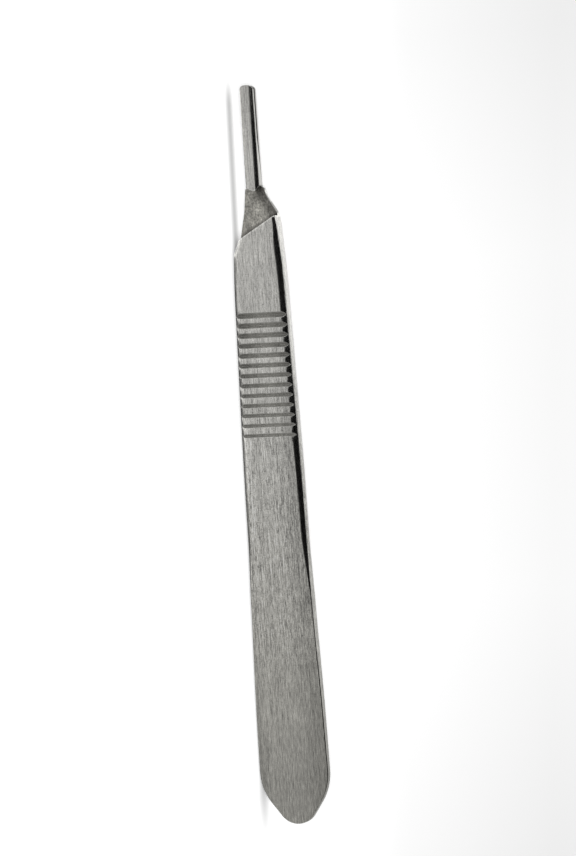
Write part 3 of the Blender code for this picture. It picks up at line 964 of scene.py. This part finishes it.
def painted_floor_shade(nodes):
    """Painted shade on the floor: how much it darkens toward the right of the picture, most at its top and
    bottom.
    """
    place = nodes.object_place()
    y = place["Y"]
    across = nodes.math("MULTIPLY_ADD", y, FADE_LEAN, place["X"])
    painted_shade = nodes.math("ADD", nodes.mapped(across, *NEAR_FADE), nodes.mapped(across, *FAR_FADE))
    ends = nodes.math("ADD", nodes.mapped(y, *TOP_FADE), nodes.mapped(y, *BOTTOM_FADE))
    ends = nodes.product(ends, nodes.mapped(across, *END_FADE_ACROSS))
    return nodes.math("ADD", painted_shade, ends)


def painted_shadow_line(nodes):
    """A painted shadow: a straight soft dark line on the floor along the left side, seen beside the tongue
    and the tail.
    """
    place = nodes.object_place()
    x, y = place["X"], place["Y"]
    middle = nodes.math("MULTIPLY_ADD", y, SHADOW_LINE_LEAN, SHADOW_LINE_X)
    away = nodes.math("ABSOLUTE", nodes.math("SUBTRACT", x, middle))
    half_width = nodes.mapped(y, *SHADOW_LINE_HALF_WIDTH)
    dark = nodes.mapped(away, 0.0, half_width, SHADOW_LINE_DEPTH, 0.0, smooth=True)
    front = nodes.mapped(y, *SHADOW_LINE_FRONT, smooth=True)
    back = nodes.mapped(y, *SHADOW_LINE_BACK, smooth=True)
    return nodes.product(dark, front, back)


def floor_material():
    """White, with a light of its own for the camera that carries painted shade and a painted shadow line,
    and unseen by mirrored rays and from below.
    """
    material, nodes = new_material("white_floor")
    rays = nodes.add("ShaderNodeLightPath").outputs
    seen = nodes.math("MAXIMUM", rays["Is Camera Ray"], rays["Is Transmission Ray"])
    # Painted shade toward the right of the picture and a painted shadow line, taken off the light that the
    # camera sees on the floor
    painted_shade = nodes.math("ADD", painted_floor_shade(nodes), painted_shadow_line(nodes))
    strength = nodes.product(seen, nodes.math("SUBTRACT", FLOOR_GLOW, painted_shade))
    glow = nodes.add("ShaderNodeEmission", {"Color": (1.0, 1.0, 1.0, 1.0), "Strength": strength})
    colour = (FLOOR_WHITE, FLOOR_WHITE, FLOOR_WHITE, 1.0)
    white = nodes.add("ShaderNodeBsdfDiffuse", {"Color": colour})
    shown = nodes.add("ShaderNodeAddShader", {0: glow.outputs[0], 1: white.outputs[0]})
    clear = nodes.add("ShaderNodeBsdfTransparent")
    behind = nodes.add("ShaderNodeNewGeometry").outputs["Backfacing"]
    see_through = nodes.math("MAXIMUM", behind, rays["Is Glossy Ray"])
    shaders = {0: see_through, 1: shown.outputs[0], 2: clear.outputs[0]}
    either = nodes.add("ShaderNodeMixShader", shaders)
    nodes.add("ShaderNodeOutputMaterial", {"Surface": either.outputs[0]})
    return material


def make_floor():
    """A wide white plain just under the handle."""
    corners = [(-1, -1), (1, -1), (1, 1), (-1, 1)]
    bm = bmesh.new()
    bm.faces.new([bm.verts.new((x * FLOOR_HALF, y * FLOOR_HALF, -FLOOR_DROP)) for x, y in corners])
    floor = object_from(bm, "floor", SCENE.collection)
    floor.data.materials.append(floor_material())


def ring_light(nodes, direction):
    """The light that the ring sends from a direction."""
    turn = nodes.math("ARCTAN2", direction["X"], direction["Z"])
    share = nodes.math("MULTIPLY_ADD", turn, 0.5 / math.pi, 0.5)
    slide = nodes.product(
        nodes.mapped(direction["Y"], *RING_SLIDE),
        nodes.mapped(share, *RING_SLIDE_SHARE),
    )
    ring = nodes.add("ShaderNodeValToRGB", {"Fac": nodes.math("ADD", share, slide)})
    stops = ring.color_ramp.elements
    for place, _ in RING[1:-1]:
        stops.new(place)
    for stop, (place, level) in zip(stops, RING):
        stop.position = place
        stop.color = (level, level, level, 1.0)
    return ring.outputs["Color"]


def mirrored_light(nodes):
    """The ring of light and dark round the long axis, with lights ahead, behind and on the left."""
    place = nodes.add("ShaderNodeTexCoord").outputs["Generated"]
    direction = nodes.add("ShaderNodeSeparateXYZ", {0: place}).outputs
    x, y, z = direction["X"], direction["Y"], direction["Z"]
    below = nodes.mapped(z, *BELOW_SHARE)
    below_front = nodes.mapped(x, *BELOW_FRONT_TONES)
    below_back = nodes.mapped(y, *BELOW_BACK_TONES)
    below_tone = nodes.mix(nodes.mapped(y, *BELOW_BACK_SHARE), below_front, below_back)
    tone = nodes.mix(below, nodes.mapped(y, *ABOVE_TONES), below_tone)
    light = nodes.product(ring_light(nodes, direction), tone)

    left_share = nodes.product(
        nodes.mapped(z, *LEFT_HEIGHT),
        nodes.mapped(x, *LEFT_SIDE),
        nodes.mapped(y, *LEFT_FRONT),
    )
    light = nodes.mix(left_share, light, LEFT_LIGHT)
    ahead_light = nodes.mix(below, AHEAD_LIGHT_ABOVE, AHEAD_LIGHT_BELOW)
    ahead = nodes.math("MULTIPLY_ADD", below, AHEAD_LEAN, y)
    light = nodes.mix(nodes.mapped(ahead, *AHEAD_SHARE, smooth=True), light, ahead_light)
    return nodes.mix(nodes.mapped(y, *BEHIND_SHARE, smooth=True), light, BEHIND_LIGHT)


def make_world():
    """White behind the object, plain light on it, and surroundings that only its mirroring shows."""
    world = bpy.data.worlds.new("studio")
    world.use_nodes = True
    SCENE.world = world
    nodes = Nodes(world.node_tree)
    rays = nodes.add("ShaderNodeLightPath").outputs
    strength = nodes.mix(rays["Is Glossy Ray"], PLAIN_LIGHT, mirrored_light(nodes))
    white = nodes.math("MAXIMUM", rays["Is Camera Ray"], rays["Is Transmission Ray"])
    strength = nodes.math("MAXIMUM", strength, white)
    light = nodes.add("ShaderNodeBackground", {"Color": (1.0, 1.0, 1.0, 1.0), "Strength": strength})
    nodes.add("ShaderNodeOutputWorld", {"Surface": light.outputs[0]})


def make_lamp():
    """One soft lamp, high on the right, which throws the narrow shadow on the left."""
    lamp = bpy.data.lights.new("soft_lamp", "AREA")
    lamp.shape = "DISK"
    lamp.size = LAMP_SIZE
    lamp.energy = LAMP_POWER
    item = bpy.data.objects.new("soft_lamp", lamp)
    SCENE.collection.objects.link(item)
    item.location = LAMP_PLACE
    item.rotation_mode = "QUATERNION"
    item.rotation_quaternion = item.location.to_track_quat("Z", "Y")
    item.visible_glossy = False


def make_camera():
    """Looks down from the right of the handle, which leans a little to the left in the picture."""
    back = Vector((math.sin(VIEW_TILT), 0.0, math.cos(VIEW_TILT)))
    across = Vector((math.cos(VIEW_TILT), 0.0, -math.sin(VIEW_TILT)))
    along = Vector((0.0, 1.0, 0.0))
    right = across * math.cos(HANDLE_LEAN) - along * math.sin(HANDLE_LEAN)
    up = across * math.sin(HANDLE_LEAN) + along * math.cos(HANDLE_LEAN)
    centre = Vector((0.0, 0.0, thickness(0.0) / 2))
    place = centre + right * AIM_RIGHT + up * AIM_UP + back * CAMERA_DISTANCE
    camera = bpy.data.cameras.new("camera")
    picture_height = PICTURE_HEIGHT / PIXELS_PER_MM * MM
    camera.sensor_width = SENSOR_WIDTH
    camera.lens = SENSOR_WIDTH * CAMERA_DISTANCE / picture_height
    camera.clip_start = CLIP_NEAR
    camera.clip_end = CLIP_FAR
    item = bpy.data.objects.new("camera", camera)
    SCENE.collection.objects.link(item)
    item.matrix_world = Matrix.Translation(place) @ Matrix((right, up, back)).transposed().to_4x4()
    SCENE.camera = item


SCENE.view_settings.view_transform = "Standard"
handle = make_handle()
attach(handle, "root")
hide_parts(NODE)
make_floor()
make_world()
make_lamp()
make_camera()
